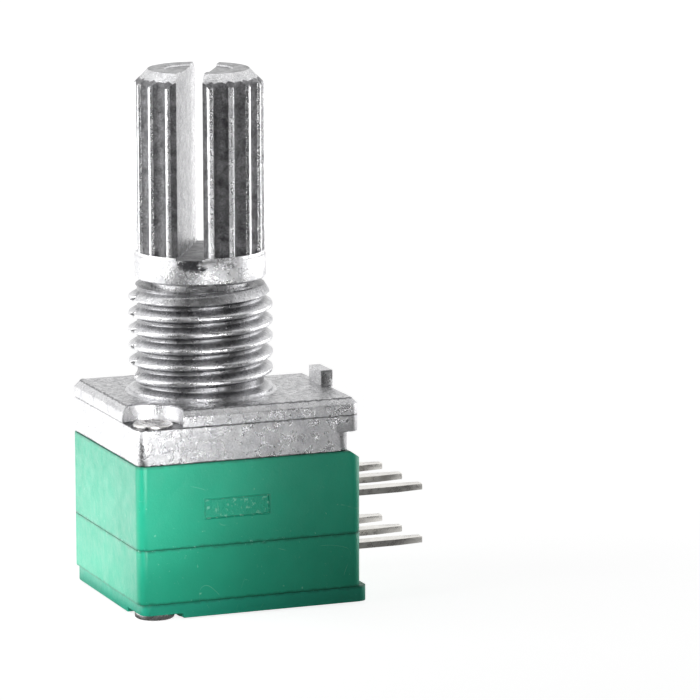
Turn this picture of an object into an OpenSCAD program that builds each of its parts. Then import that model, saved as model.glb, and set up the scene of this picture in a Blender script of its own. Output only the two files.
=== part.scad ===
// Two-gang rotary potentiometer, 9 mm size, with a die-cast fluted split shaft
// and a threaded panel bushing. The origin lies on the shaft axis, in the face
// that seats against the panel. +Z runs to the tip of the shaft and the
// terminals point along +X. All sizes are in millimetres.

/* [Body] */
// Width of the body across its blank end
body_w = 9.5; // [9.3:0.1:12]
// Distance from the shaft axis to the blank end of the body
blank_end = 4.75; // [4.65:0.05:6]
// Distance from the shaft axis to the terminal end of the housings
terminal_end = 6.15; // [5.9:0.05:7]
// Radius of the upright corners of the body
corner_r = 0.45; // [0.2:0.05:0.8]
// Depth of the die-cast plate below the panel face
plate_h = 2.47; // [2.3:0.01:3]
// Height of the front housing
front_housing_h = 3.89; // [3.6:0.01:4.1]
// Height of the rear housing
rear_housing_h = 2.54; // [2.4:0.02:3.5]
// Wall of the housings outside the chambers of the rotors
housing_wall = 0.75; // [0.5:0.05:1]

/* [Mounting plate] */
// Thickness of the flange at the top of the plate
flange_t = 0.8; // [0.6:0.05:1]
// Distance from the terminal end of the housings back to the flange's end
flange_setback = 0.09; // [0:0.01:0.3]
// Distance from the flange's end back to the end of the skirt under it
skirt_setback = 0.5; // [0.3:0.02:0.8]
// Height of the lip at the terminal end of the flange
lip_h = 1.57; // [1:0.01:2]
// Bevel along the top edges of the flange
flange_bevel = 0.3; // [0.1:0.05:0.4]
// Inset of the skirt behind the sides of the flange
skirt_inset = 0.05; // [0:0.01:0.15]
// Radius of the corner notches that clear the rivet heads
notch_r = 1.6; // [1.3:0.05:1.7]
// Distance from the shaft axis to the straight edge of the wide corner notch
notch_edge = 1.95; // [1.7:0.05:2.5]
// Width of the locating lug
lug_w = 1.6; // [1:0.1:2.5]
// Thickness of the locating lug
lug_t = 0.58; // [0.4:0.02:1]
// Height of the locating lug above the panel face
lug_h = 0.7; // [0.5:0.1:1.5]
// Offset of the locating lug from the middle of the body
lug_offset = -0.5; // [-1.5:0.1:0.8]

/* [Bushing] */
// Height of the bushing above the panel face
bushing_h = 5; // [4:0.25:7]
// Outer diameter of the thread
thread_d = 6.7; // [6.4:0.1:7]
// Pitch of the thread
thread_pitch = 0.75; // [0.6:0.05:1]
// Depth of the thread
thread_depth = 0.42; // [0.3:0.02:0.5]
// Width of the flat on each thread crest
crest_w = 0.12; // [0.06:0.02:0.2]
// Height of the relief between the collar and the first thread
relief_h = 0.51; // [0.3:0.01:0.8]
// Chamfer at the top of the bushing
bushing_chamfer = 0.4; // [0.2:0.05:0.6]
// Diameter of the collar at the foot of the bushing
collar_d = 7.1; // [6.9:0.1:7.6]
// Height of the collar
collar_h = 0.2; // [0.1:0.05:0.4]
// Wall left between the bore and the top rim's countersink edge
rim_countersink = 0.2; // [0.1:0.05:0.3]

/* [Shaft] */
// Length of the shaft above the panel face
shaft_l = 15; // [13:0.5:25]
// Diameter over the flutes
shaft_d = 6; // [5.5:0.1:6.35]
// Bevel at the tip of the shaft
tip_bevel = 0.67; // [0.3:0.01:0.9]
// Depth of the dish in the tip
tip_dish = 0.1; // [0.05:0.01:0.2]
// Height of the plain band between the bushing and the flutes
band_h = 1.3; // [1:0.05:3]
// Number of flutes
flute_count = 18; // [12:1:20]
// Depth of the flutes
flute_depth = 0.3; // [0.15:0.05:0.35]
// Radius of the flutes' round floor
flute_r = 0.5; // [0.42:0.02:0.6]
// Width of the cross slot that splits the tip
slot_w = 1.2; // [0.8:0.1:1.6]
// Depth of the cross slot below the ends of the flutes
slot_overrun = 0.1; // [0.05:0.05:0.5]
// Direction of the cross slot with the shaft turned fully counter-clockwise
slot_angle = 61; // [0:1:180]
// Diameter of the plain band under the flutes
band_d = 6.1; // [6:0.1:6.6]
// Gap between the bushing and the plain band
band_gap = 0.3; // [0.2:0.05:0.8]
// Height of the step between the flutes and the plain band
band_step = 0.15; // [0.12:0.01:0.3]
// Diameter of the journal that turns in the bushing
journal_d = 4.5; // [4:0.1:4.8]
// Diameter of the tang that drives the rotors
tang_d = 3; // [2.6:0.1:3.2]
// Width of the tang across its two flats
tang_flats = 2.2; // [1.9:0.1:2.4]
// Diameter of the pilot that runs in the rear cover
pilot_d = 1.8; // [1.4:0.1:1.9]
// Depth of the pilot's seat in the rear cover
pilot_depth = 0.25; // [0.15:0.05:0.4]

/* [Retaining ring] */
// Thickness of the retaining ring
ring_t = 0.4; // [0.3:0.05:0.5]
// Outer diameter of the retaining ring
ring_d = 6.2; // [5.6:0.1:6.4]
// Diameter of the groove that holds the retaining ring
ring_groove_d = 3.5; // [3.2:0.1:3.7]
// Width of the retaining ring's mouth
ring_mouth = 2.9; // [2.4:0.1:3.1]

/* [Resistor wafers] */
// Height of the middle of a gang's terminals above the bottom of its housing
gang_rise = 1.46; // [1.3:0.02:1.6]
// Thickness of a resistor wafer
wafer_t = 0.7; // [0.5:0.05:0.8]
// Wall of the housings beside and behind a wafer
wafer_wall = 0.6; // [0.4:0.05:0.7]
// Distance from the terminal end of the housings back to a wafer
wafer_setback = 0.75; // [0.6:0.05:0.9]
// Height of the printed carbon track
track_t = 0.05; // [0.02:0.01:0.08]
// Distance from a rotor's rim to the middle of the carbon track
track_inset = 0.5; // [0.4:0.05:0.6]
// Width of the carbon track
track_w = 0.8; // [0.5:0.05:0.9]
// Distance from a wafer's hole to the collector ring
collector_gap = 0.2; // [0.15:0.05:0.3]
// Width of the collector ring
collector_w = 0.45; // [0.3:0.05:0.5]
// Half of the angle that the carbon track leaves open
track_gap_angle = 26; // [22:1:28]
// Width of the printed leads
lead_w = 0.5; // [0.3:0.05:0.6]

/* [Terminals] */
// Distance between neighbouring terminals
terminal_pitch = 2.5; // [2.4:0.05:2.54]
// Thickness of the terminal sheet
terminal_t = 0.3; // [0.2:0.05:0.35]
// Width of a terminal
terminal_w = 0.8; // [0.6:0.05:1]
// Width of a terminal at its tip
terminal_tip_w = 0.45; // [0.3:0.05:0.6]
// Length of the taper at the tip
terminal_taper = 1.3; // [0.8:0.1:2]
// Distance from the shaft axis to the terminals' tips
terminal_reach = 10; // [8.5:0.1:14]
// Distance from a wafer's end to the row of eyelets
eyelet_inset = 0.7; // [0.65:0.01:0.75]
// Radius of a terminal's inner pad
eyelet_pad_r = 0.58; // [0.5:0.02:0.6]
// Outer diameter of an eyelet's barrel
eyelet_d = 0.6; // [0.5:0.05:0.7]
// Diameter of the hole through an eyelet
eyelet_hole_d = 0.35; // [0.2:0.05:0.4]
// Diameter of an eyelet's heads
eyelet_head_d = 1; // [0.8:0.05:1.1]
// Thickness of an eyelet's heads
eyelet_head_t = 0.12; // [0.08:0.02:0.16]

/* [Rotors] */
// Thickness of a rotor's disc
rotor_t = 0.45; // [0.35:0.05:0.5]
// Diameter of a rotor's hub
hub_d = 4; // [3.8:0.1:4.2]
// Angle that the stop lug covers
stop_lug_angle = 20; // [12:1:24]
// Height of the stop lug
stop_lug_h = 0.9; // [0.6:0.05:1]
// Angle through which the shaft turns between its stops
travel = 300; // [280:5:310]
// Thickness of the wiper sheet
wiper_t = 0.15; // [0.1:0.01:0.2]
// Drop of the wiper's fingers from their plate to the track
wiper_drop = 0.6; // [0.5:0.02:0.65]
// Width of the wiper's fingers
finger_w = 0.4; // [0.3:0.05:0.45]
// Diameter of the rotor's staked posts
post_d = 0.45; // [0.35:0.05:0.5]

/* [Rivets] */
// Distance from the body's blank end and sides to the rivets
rivet_inset = 1.1; // [1:0.05:1.15]
// Diameter of a rivet's shank
rivet_d = 1.2; // [1:0.05:1.25]
// Diameter of a rivet's head
rivet_head_d = 1.82; // [1.6:0.02:2]
// Thickness of the head on the plate
rivet_front_head_t = 0.16; // [0.1:0.02:0.25]
// Thickness of the head on the rear cover
rivet_rear_head_t = 0.3; // [0.2:0.02:0.3]
// Depth of the dish in a rivet's head
rivet_dish = 0.08; // [0.04:0.01:0.12]

/* [Rear cover] */
// Thickness of the rear cover
cover_t = 0.73; // [0.6:0.01:0.9]
// Reach of the cover's lip beyond the terminal end of the housings
cover_lip = 0.3; // [0:0.05:0.4]
// Inset of the cover at the blank end
cover_inset = 0.14; // [0:0.02:0.3]
// Height of the raised pad that the part rests on
pad_h = 0.12; // [0.1:0.02:0.3]
// Width of the raised pad
pad_w = 5.1; // [4:0.1:5.3]
// Length of the raised pad
pad_l = 8; // [6:0.1:8.4]
// Side of the square pockets round the rear rivet heads
pocket_side = 2.05; // [2.02:0.01:2.1]
// Depth of the rivet pockets
pocket_depth = 0.22; // [0.18:0.02:0.3]
// Length of the bare framed field beside the pad
field_l = 5; // [3:0.1:6]
// Width of the bare framed field
field_w = 2; // [1.4:0.1:2.1]
// Height and line width of the field's frame
field_line = 0.08; // [0.05:0.01:0.1]
// Outer diameter of the boss that guides the pilot
boss_d = 3.6; // [3.2:0.1:4.2]

/* [Side field] */
// Width of the bare recessed field on the side of the front housing
side_field_w = 3.1; // [2:0.1:4]
// Height of the side field
side_field_h = 0.85; // [0.5:0.05:1]
// Depth of the side field
side_field_depth = 0.05; // [0.02:0.01:0.08]
// Height of the side field's middle above the bottom of the front housing
side_field_rise = 1.73; // [1.4:0.01:2.2]
// Fall of the front housing's top beyond the skirt
end_slope = 0.4; // [0.2:0.05:0.6]

/* [Fits] */
// Radial clearance of the journal and the pilot
running_clearance = 0.03; // [0.02:0.01:0.05]
// Radial clearance of the tang in the wafers
tang_clearance = 0.2; // [0.1:0.05:0.3]
// Clearance between the tang and the rotors
drive_clearance = 0.02; // [0.01:0.01:0.05]
// Radial clearance of the rivets in their holes
rivet_clearance = 0.05; // [0.02:0.01:0.1]
// Axial clearance above and below the retaining ring
ring_clearance = 0.05; // [0.03:0.01:0.1]
// Gap between the wiper's contacts and the track
contact_gap = 0.02; // [0.01:0.01:0.05]
// Axial clearance at the ends of the rotors' hubs
hub_clearance = 0.1; // [0.05:0.01:0.2]
// Angle left between the stop lug and each stop
stop_clearance = 0.5; // [0.3:0.1:1]
// Radial clearance of the rotors in their chambers
cavity_clearance = 0.3; // [0.2:0.05:0.4]
// Radial clearance of the retaining ring in its pocket
ring_side_clearance = 0.2; // [0.1:0.05:0.3]

/* [Hidden] */
$fn = 64;

FRONT = 0;
REAR = 1;
cut = 1; // how far a cutting shape runs past the face that it opens
half_w = body_w / 2;

// Levels from the panel face down to the pad that the part rests on
plate_z = -plate_h;
seam_z = plate_z - front_housing_h;
cover_z = seam_z - rear_housing_h;
back_z = cover_z - cover_t;

// Ends of the plate, taken from the terminal end of the housings
flange_end = terminal_end - flange_setback;
skirt_end = flange_end - skirt_setback;

// Plate cavity: a ring pocket that reaches a little into the flange, and a wider chamber for the stop
pocket_reach = 0.1;
ring_pocket_r = ring_d / 2 + ring_side_clearance;
ring_pocket_z = -flange_t + pocket_reach;
ring_top_z = ring_pocket_z - ring_clearance;
ring_bottom_z = ring_top_z - ring_t;
chamber_r = min(half_w, blank_end) - housing_wall;
rotor_r = chamber_r - cavity_clearance;
chamber_z = ring_bottom_z - ring_clearance;

// Rivets stand in two opposite corners of the body
rivet_x = blank_end - rivet_inset;
rivet_y = half_w - rivet_inset;
rivet_hole_r = rivet_d / 2 + rivet_clearance;
rivet_wall = 0.35;
rivet_column_r = rivet_hole_r + rivet_wall;

// The centre of the small notch lies a little outside the rivet
notch_shift = 0.35;

// Shaft levels
band_z = bushing_h + band_gap;
flute_z = band_z + band_h;
slot_z = flute_z - slot_overrun;
shoulder_z = chamber_z - hub_clearance;
pilot_z = gang_z(REAR) - terminal_t;
pilot_end_z = cover_z - pilot_depth + hub_clearance;
pilot_seat_z = cover_z - pilot_depth;
// The wiper stands beside the stop lug, so both ends of the travel are known
rest_angle = 180 + travel / 2;
stop_half_angle = (360 - travel - stop_lug_angle) / 2 - stop_clearance;

// Levels of one gang, taken from the middle of its terminals
function gang_z(gang) = (gang == FRONT ? seam_z : cover_z) + gang_rise;
function wafer_bottom(gang) = gang_z(gang) + terminal_t / 2;
function wafer_top(gang) = wafer_bottom(gang) + wafer_t;
function contact_z(gang) = wafer_top(gang) + track_t + contact_gap;
function wiper_plate_z(gang) = contact_z(gang) + wiper_drop;
function rotor_z(gang) = wiper_plate_z(gang) + wiper_t;
function hub_top_z(gang) = (gang == FRONT ? chamber_z : wafer_bottom(FRONT)) - hub_clearance;

// Plan of a wafer, and where its track ends and its leads meet the eyelets
wafer_end = terminal_end - wafer_setback;
eyelet_x = wafer_end - eyelet_inset;
wafer_hole_r = tang_d / 2 + tang_clearance;
track_r = rotor_r - track_inset;
collector_r = wafer_hole_r + collector_gap + collector_w / 2;
lead_start = [track_r * cos(track_gap_angle), track_r * sin(track_gap_angle)];
function terminal_y(i) = (i - 1) * terminal_pitch;

// Slab with rounded upright corners, from z0 up to z1
module slab(x0, x1, y0, y1, z0, z1, r) {
    translate([0, 0, z0])
        linear_extrude(z1 - z0)
            rounded_rect(x0, x1, y0, y1, r);
}

module rounded_rect(x0, x1, y0, y1, r) {
    translate([x0 + r, y0]) square([x1 - x0 - 2 * r, y1 - y0]);
    translate([x0, y0 + r]) square([x1 - x0, y1 - y0 - 2 * r]);
    for (x = [x0 + r, x1 - r], y = [y0 + r, y1 - r])
        translate([x, y]) circle(r);
}

// Upright cylinder at [x, y], from z0 up to z1
module rod(r, z0, z1, x = 0, y = 0) {
    translate([x, y, z0]) cylinder(r = r, h = z1 - z0);
}

// Ring sector between two radii, symmetric about the direction of angle
module sector(r_in, r_out, half_angle, angle) {
    reach = r_out / cos(half_angle);
    rotate(angle)
        difference() {
            intersection() {
                circle(r_out);
                polygon([[0, 0], [reach * cos(half_angle), -reach * sin(half_angle)],
                    [reach * cos(half_angle), reach * sin(half_angle)]]);
            }
            circle(r_in);
        }
}

// Both rivet positions
module at_rivets() {
    for (side = [-1, 1])
        translate([side * rivet_x, side * rivet_y, 0]) children();
}

module rivet_holes(z0, z1) {
    at_rivets() rod(rivet_hole_r, z0, z1);
}

// Straight printed lead or groove between two points
module strip(from, to, w) {
    run = to - from;
    translate(from)
        rotate(atan2(run[1], run[0]))
            translate([0, -w / 2]) square([norm(run), w]);
}

// Plan of the three leads, from the track's ends and the collector to the eyelets
module lead_plan(w) {
    for (side = [-1, 1])
        strip([lead_start[0], side * lead_start[1]], [eyelet_x, side * terminal_pitch], w);
    strip([collector_r, 0], [eyelet_x, 0], w);
}

// Plan of a wafer, cut back round the two rivets
module wafer_plan() {
    wafer_y = half_w - wafer_wall;
    difference() {
        rounded_rect(-blank_end + wafer_wall, wafer_end, -wafer_y, wafer_y, corner_r);
        for (side = [-1, 1])
            translate([side * rivet_x, side * rivet_y]) circle(rivet_column_r);
    }
}

// Plan of a terminal: a round pad for its eyelet, a straight blade and a tapered tip
module terminal_plan() {
    taper_x = terminal_reach - terminal_taper;
    translate([eyelet_x, 0]) circle(eyelet_pad_r);
    polygon([
        [eyelet_x, -terminal_w / 2], [taper_x, -terminal_w / 2],
        [terminal_reach, -terminal_tip_w / 2], [terminal_reach, terminal_tip_w / 2],
        [taper_x, terminal_w / 2], [eyelet_x, terminal_w / 2]
    ]);
}

// Outline of half the threaded bushing, with one ridge for each turn
module thread_profile() {
    crest_r = thread_d / 2;
    root_r = crest_r - thread_depth;
    first = collar_h + relief_h + thread_depth * tan(30) + crest_w / 2;
    turns = ceil((bushing_h - first) / thread_pitch);
    intersection() {
        union() {
            translate([0, -flange_t / 2]) square([root_r, bushing_h + flange_t / 2]);
            for (i = [0:turns])
                translate([root_r, first + i * thread_pitch]) ridge();
        }
        polygon([
            [0, -flange_t], [crest_r, -flange_t], [crest_r, bushing_h - bushing_chamfer],
            [crest_r - bushing_chamfer, bushing_h], [0, bushing_h]
        ]);
    }
    // Collar that flares onto the plate
    polygon([
        [0, -flange_t / 2], [collar_d / 2, -flange_t / 2], [collar_d / 2, collar_h / 2],
        [collar_d / 2 - collar_h / 2, collar_h], [0, collar_h]
    ]);
}

// Section of one thread ridge, with a foot that reaches into the core
module ridge() {
    foot = thread_depth / 4;
    foot_w = crest_w + 2 * (thread_depth + foot) * tan(30);
    polygon([
        [-foot, -foot_w / 2], [thread_depth, -crest_w / 2],
        [thread_depth, crest_w / 2], [-foot, foot_w / 2]
    ]);
}

// Slab with rounded upright corners and a bevel along its top edges
module bevelled_slab(x0, x1, y0, y1, z0, z1, r, bevel) {
    slab(x0, x1, y0, y1, z0, z1 - bevel, r);
    translate([x0 + r, 0, 0])
        rotate([90, 0, 90])
            linear_extrude(x1 - x0 - 2 * r) bevelled_section(y0, y1, z0, z1, bevel);
    translate([0, y1 - r, 0])
        rotate([90, 0, 0])
            linear_extrude(y1 - y0 - 2 * r) bevelled_section(x0, x1, z0, z1, bevel);
    for (x = [x0 + r, x1 - r], y = [y0 + r, y1 - r])
        translate([x, y, z1 - bevel]) cylinder(r1 = r, r2 = max(r - bevel, r / 20), h = bevel);
}

// Section of a slab between a and b, with both top corners bevelled
module bevelled_section(a, b, z0, z1, bevel) {
    polygon([[a, z0], [b, z0], [b, z1 - bevel], [b - bevel, z1], [a + bevel, z1], [a, z1 - bevel]]);
}

// Flange with bevelled top edges
module flange() {
    bevelled_slab(-blank_end, flange_end, -half_w, half_w, -flange_t, 0, corner_r, flange_bevel);
}

// Skirt under the flange, with the lip at the terminal end
module skirt() {
    slab(
        -blank_end + skirt_inset, skirt_end, -half_w + skirt_inset, half_w - skirt_inset,
        plate_z, -flange_t, corner_r
    );
    slab(skirt_end - 2 * corner_r, flange_end, -half_w, half_w, -lip_h, -flange_t, corner_r);
}

// Threaded bushing and front plate, die-cast in one piece
module bushing_plate() {
    color("silver")
        difference() {
            union() {
                difference() {
                    flange();
                    // Small notch round the rivet at the blank end
                    rod(notch_r, -flange_t, cut, -rivet_x - notch_shift, -rivet_y - notch_shift);
                    // Wide notch round the rivet at the terminal end
                    rod(notch_r, -flange_t, cut, rivet_x, rivet_y);
                    translate([rivet_x, notch_edge, -flange_t])
                        cube([flange_end, body_w, flange_t + cut]);
                }
                skirt();
                rotate_extrude() thread_profile();
                // Locating lug beside the terminals
                translate([flange_end - lug_t, lug_offset - lug_w / 2, -flange_t])
                    cube([lug_t, lug_w, flange_t + lug_h]);
            }
            rod(journal_d / 2 + running_clearance, -flange_t - cut, bushing_h + cut);
            translate([0, 0, bushing_h - rim_countersink])
                cylinder(h = 2 * rim_countersink, r1 = journal_d / 2, r2 = journal_d / 2 + 2 * rim_countersink);
            rod(ring_pocket_r, plate_z - cut, ring_pocket_z);
            // Chamber of the stop lug, with the cast stop left standing in it
            difference() {
                rod(chamber_r, plate_z - cut, chamber_z);
                translate([0, 0, plate_z + hub_clearance])
                    linear_extrude(plate_h) sector(ring_pocket_r, chamber_r + cut, stop_half_angle, 0);
            }
            rivet_holes(plate_z - cut, cut);
        }
}

// Fluted shaft, split at its tip, with the tang and the pilot below
module shaft() {
    r = shaft_d / 2;
    journal_r = journal_d / 2;
    band_edge = 0.1; // bevel at the foot of the plain band
    color("gainsboro")
        rotate(slot_angle)
            difference() {
                rotate_extrude()
                    polygon([
                        [0, shaft_l], [r - tip_bevel, shaft_l],
                        [r, shaft_l - tip_bevel], [r, flute_z - band_step],
                        [band_d / 2, flute_z - band_step - abs(band_d / 2 - r)],
                        [band_d / 2, band_z + band_edge], [band_d / 2 - band_edge, band_z],
                        [journal_r, band_z], [journal_r, ring_top_z + ring_clearance / 2],
                        [ring_groove_d / 2, ring_top_z + ring_clearance / 2],
                        [ring_groove_d / 2, ring_bottom_z - ring_clearance / 2],
                        [journal_r, ring_bottom_z - ring_clearance / 2], [journal_r, shoulder_z],
                        [tang_d / 2, shoulder_z], [tang_d / 2, pilot_z],
                        [pilot_d / 2, pilot_z], [pilot_d / 2, pilot_end_z], [0, pilot_end_z]
                    ]);
                // Flutes, with a ridge left in the direction of the slot
                for (i = [0:flute_count - 1])
                    rotate((i + 0.5) * 360 / flute_count)
                        rod(flute_r, flute_z, shaft_l + cut, r - flute_depth + flute_r, 0);
                // Cross slot
                translate([-shaft_d, -slot_w / 2, slot_z])
                    cube([2 * shaft_d, slot_w, shaft_l - slot_z + cut]);
                // Dish in the tip
                translate([0, 0, shaft_l - tip_dish])
                    cylinder(r1 = r / 2, r2 = r / 2 + 2 * tip_dish, h = 2 * tip_dish);
                // Flats of the tang
                for (side = [-1, 1])
                    translate([-tang_d, side > 0 ? tang_flats / 2 : -tang_flats / 2 - tang_d, pilot_z])
                        cube([2 * tang_d, tang_d, shoulder_z - pilot_z]);
            }
}

// Stamped open ring that holds the shaft in the plate
module retaining_ring() {
    color("dimgray")
        rotate(slot_angle)
            translate([0, 0, ring_bottom_z])
                linear_extrude(ring_t)
                    difference() {
                        circle(ring_d / 2);
                        circle(ring_groove_d / 2 + drive_clearance);
                        translate([0, -ring_mouth / 2]) square([ring_d, ring_mouth]);
                        // Scallops that leave three gripping prongs
                        for (angle = [120, 240])
                            rotate(angle) translate([ring_groove_d / 2, 0]) circle(ring_d / 8);
                    }
}

// Space that a wafer, its terminals and its eyelets take in the housing moulded round them
module wafer_space(gang) {
    translate([0, 0, wafer_bottom(gang)])
        linear_extrude(wafer_t) wafer_plan();
    for (i = [0:2])
        translate([0, terminal_y(i), wafer_bottom(gang) - terminal_t]) {
            linear_extrude(terminal_t) terminal_plan();
            rod(eyelet_pad_r, -eyelet_head_t, terminal_t + wafer_t + track_t + eyelet_head_t, eyelet_x, 0);
        }
    translate([0, 0, wafer_top(gang)])
        linear_extrude(track_t + eyelet_head_t) lead_plan(lead_w);
}

// Block of one housing, without its inner spaces
module housing_block(z0, z1) {
    slab(-blank_end, terminal_end, -half_w, half_w, z0, z1, corner_r);
}

module front_housing() {
    slope_end_z = plate_z - end_slope * (1 + cut / (terminal_end - skirt_end));
    color("mediumseagreen")
        difference() {
            housing_block(seam_z, plate_z);
            // The top falls away beyond the skirt of the plate
            translate([0, half_w + cut, 0])
                rotate([90, 0, 0])
                    linear_extrude(body_w + 2 * cut)
                        polygon([
                            [skirt_end, plate_z], [terminal_end + cut, slope_end_z],
                            [terminal_end + cut, plate_z + cut], [skirt_end, plate_z + cut]
                        ]);
            rod(chamber_r, wafer_top(FRONT), plate_z + cut);
            rod(chamber_r, seam_z - cut, wafer_bottom(FRONT));
            wafer_space(FRONT);
            rivet_holes(seam_z - cut, plate_z + cut);
            // Bare field on the side
            translate([-side_field_w / 2, -half_w - cut, seam_z + side_field_rise - side_field_h / 2])
                cube([side_field_w, cut + side_field_depth, side_field_h]);
        }
}

module rear_housing() {
    color("mediumseagreen")
        difference() {
            housing_block(cover_z, seam_z);
            rod(chamber_r, wafer_top(REAR), seam_z + cut);
            rod(chamber_r, cover_z - cut, wafer_bottom(REAR));
            wafer_space(REAR);
            rivet_holes(cover_z - cut, seam_z + cut);
        }
}

// Rear cover with its pad, rivet pockets, bare framed field and pilot boss
module rear_cover() {
    cover_end = terminal_end + cover_lip;
    field_x = (pad_w / 2 + cover_end) / 2;
    color("mediumaquamarine")
        difference() {
            union() {
                slab(-blank_end + cover_inset, cover_end, -half_w, half_w, back_z, cover_z, corner_r);
                slab(-pad_w / 2, pad_w / 2, -pad_l / 2, pad_l / 2, back_z - pad_h, cover_z, corner_r / 2);
                rod(boss_d / 2, cover_z - cover_t / 2, pilot_z - hub_clearance);
                // Frame line round the bare field
                difference() {
                    field_slab(field_x, field_line);
                    field_slab(field_x, 0, -field_line);
                }
            }
            rod(pilot_d / 2 + running_clearance, pilot_seat_z, pilot_z + cut);
            rivet_holes(back_z - cut, cover_z + cut);
            for (side = [-1, 1])
                translate([side * rivet_x, side * rivet_y, 0]) rivet_pocket(side);
        }
}

// Slab of the framed field. A negative grow shrinks its outline and runs it past the frame.
module field_slab(field_x, depth, grow = 0) {
    slab(
        field_x - field_w / 2 - grow, field_x + field_w / 2 + grow,
        -field_l / 2 - grow, field_l / 2 + grow,
        back_z - depth - (grow < 0 ? cut : 0), back_z + cover_t / 4, corner_r / 2
    );
}

// Square pocket round a rear rivet head, open through the near side of the body.
// The one at the blank end is open through that end too.
module rivet_pocket(side) {
    reach = blank_end + cut - rivet_x;
    run_x = side < 0 ? reach : pocket_side / 2;
    translate([side < 0 ? -run_x : -pocket_side / 2, side < 0 ? -reach : -pocket_side / 2, back_z - cut])
        cube([run_x + pocket_side / 2, reach + pocket_side / 2, cut + pocket_depth]);
}

// Two long rivets that hold the stack together
module rivets() {
    head_z = back_z + pocket_depth;
    foot_z = head_z - rivet_rear_head_t;
    front_head_z = -flange_t + rivet_front_head_t;
    edge = 0.06; // bevel round the heads
    color("whitesmoke")
        at_rivets()
            rotate_extrude()
                polygon([
                    [0, front_head_z - rivet_dish], [rivet_d / 3, front_head_z - rivet_dish],
                    [rivet_d / 2, front_head_z], [rivet_head_d / 2 - edge, front_head_z],
                    [rivet_head_d / 2, front_head_z - edge], [rivet_head_d / 2, -flange_t],
                    [rivet_d / 2, -flange_t], [rivet_d / 2, head_z], [rivet_head_d / 2, head_z],
                    [rivet_head_d / 2, foot_z + edge], [rivet_head_d / 2 - edge, foot_z],
                    [rivet_d / 2, foot_z], [rivet_d / 2 - edge, foot_z + rivet_dish],
                    [0, foot_z + rivet_dish]
                ]);
}

// Phenolic wafer with its printed carbon track, collector ring and leads
module wafer(gang) {
    color("saddlebrown")
        difference() {
            union() {
                translate([0, 0, wafer_bottom(gang)])
                    linear_extrude(wafer_t) wafer_plan();
                translate([0, 0, wafer_top(gang)])
                    linear_extrude(track_t) {
                        difference() {
                            circle(track_r + track_w / 2);
                            sector(0, track_r + track_w, track_gap_angle, 0);
                            circle(track_r - track_w / 2);
                        }
                        difference() {
                            circle(collector_r + collector_w / 2);
                            circle(collector_r - collector_w / 2);
                        }
                        lead_plan(lead_w);
                        for (i = [0:2])
                            translate([eyelet_x, terminal_y(i)]) circle(eyelet_head_d / 2);
                    }
            }
            rod(wafer_hole_r, wafer_bottom(gang) - cut, wafer_top(gang) + cut);
            for (i = [0:2])
                rod(eyelet_d / 2, wafer_bottom(gang) - cut, wafer_top(gang) + cut, eyelet_x, terminal_y(i));
        }
}

module front_wafer() {
    wafer(FRONT);
}

module rear_wafer() {
    wafer(REAR);
}

// Three hollow eyelets that join a wafer to its terminals
module eyelets(gang) {
    low = wafer_bottom(gang) - terminal_t;
    high = wafer_top(gang) + track_t;
    color("lightgray")
        for (i = [0:2])
            translate([eyelet_x, terminal_y(i), 0])
                difference() {
                    union() {
                        rod(eyelet_d / 2, low, high);
                        rod(eyelet_head_d / 2, low - eyelet_head_t, low);
                        rod(eyelet_head_d / 2, high, high + eyelet_head_t);
                    }
                    rod(eyelet_hole_d / 2, low - cut, high + cut);
                }
}

module front_eyelets() {
    eyelets(FRONT);
}

module rear_eyelets() {
    eyelets(REAR);
}

// Stamped terminal number i of a gang
module terminal(gang, i) {
    color("silver")
        translate([0, terminal_y(i), wafer_bottom(gang) - terminal_t])
            linear_extrude(terminal_t)
                difference() {
                    terminal_plan();
                    translate([eyelet_x, 0]) circle(eyelet_d / 2);
                }
}

// Positions of the staked posts, on both sides of the hub
post_r = (rotor_r + hub_d / 2) / 2;
post_angle = 133;
function post_at(side) = [post_r * cos(post_angle), side * post_r * sin(post_angle)];

// Moulded rotor that carries a wiper; the front one also carries the stop lug
module rotor(gang) {
    top_z = hub_top_z(gang);
    under_z = wiper_plate_z(gang);
    post_head_t = 0.1;
    color("ivory")
        rotate(rest_angle)
            difference() {
                union() {
                    rod(rotor_r, rotor_z(gang), rotor_z(gang) + rotor_t);
                    rod(hub_d / 2, rotor_z(gang), top_z);
                    for (side = [-1, 1])
                        translate(post_at(side)) {
                            rod(post_d / 2, under_z, rotor_z(gang) + rotor_t);
                            rod(post_d * 0.8, under_z - post_head_t, under_z);
                        }
                    if (gang == FRONT)
                        translate([0, 0, rotor_z(gang)])
                            linear_extrude(rotor_t + stop_lug_h)
                                sector(hub_d / 4, rotor_r, stop_lug_angle / 2, 0);
                }
                tang_hole(under_z - cut, top_z + cut);
            }
}

// Hole for the tang, turned with the shaft's flats
module tang_hole(z0, z1) {
    rotate(slot_angle - rest_angle)
        intersection() {
            rod(tang_d / 2 + drive_clearance, z0, z1);
            translate([-tang_d, -tang_flats / 2 - drive_clearance, z0])
                cube([2 * tang_d, tang_flats + 2 * drive_clearance, z1 - z0]);
        }
}

module front_rotor() {
    rotor(FRONT);
}

module rear_rotor() {
    rotor(REAR);
}

// Stamped wiper: a crescent plate staked to the rotor and two sprung fingers
module wiper(gang) {
    root_x = -hub_d / 4;
    finger_t = wiper_t * 0.8;
    rim = 0.1; // how far the plate stays inside the rotor's rim
    color("goldenrod")
        translate([0, 0, wiper_plate_z(gang)])
            rotate(rest_angle) {
                linear_extrude(wiper_t)
                    difference() {
                        circle(rotor_r - rim);
                        circle(wafer_hole_r + collector_gap);
                        translate([root_x, -2 * rotor_r]) square([4 * rotor_r, 4 * rotor_r]);
                        for (side = [-1, 1])
                            translate(post_at(side)) circle(post_d / 2 + drive_clearance);
                    }
                finger(track_r, root_x, finger_t);
                finger(collector_r, root_x, finger_t);
            }
}

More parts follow.
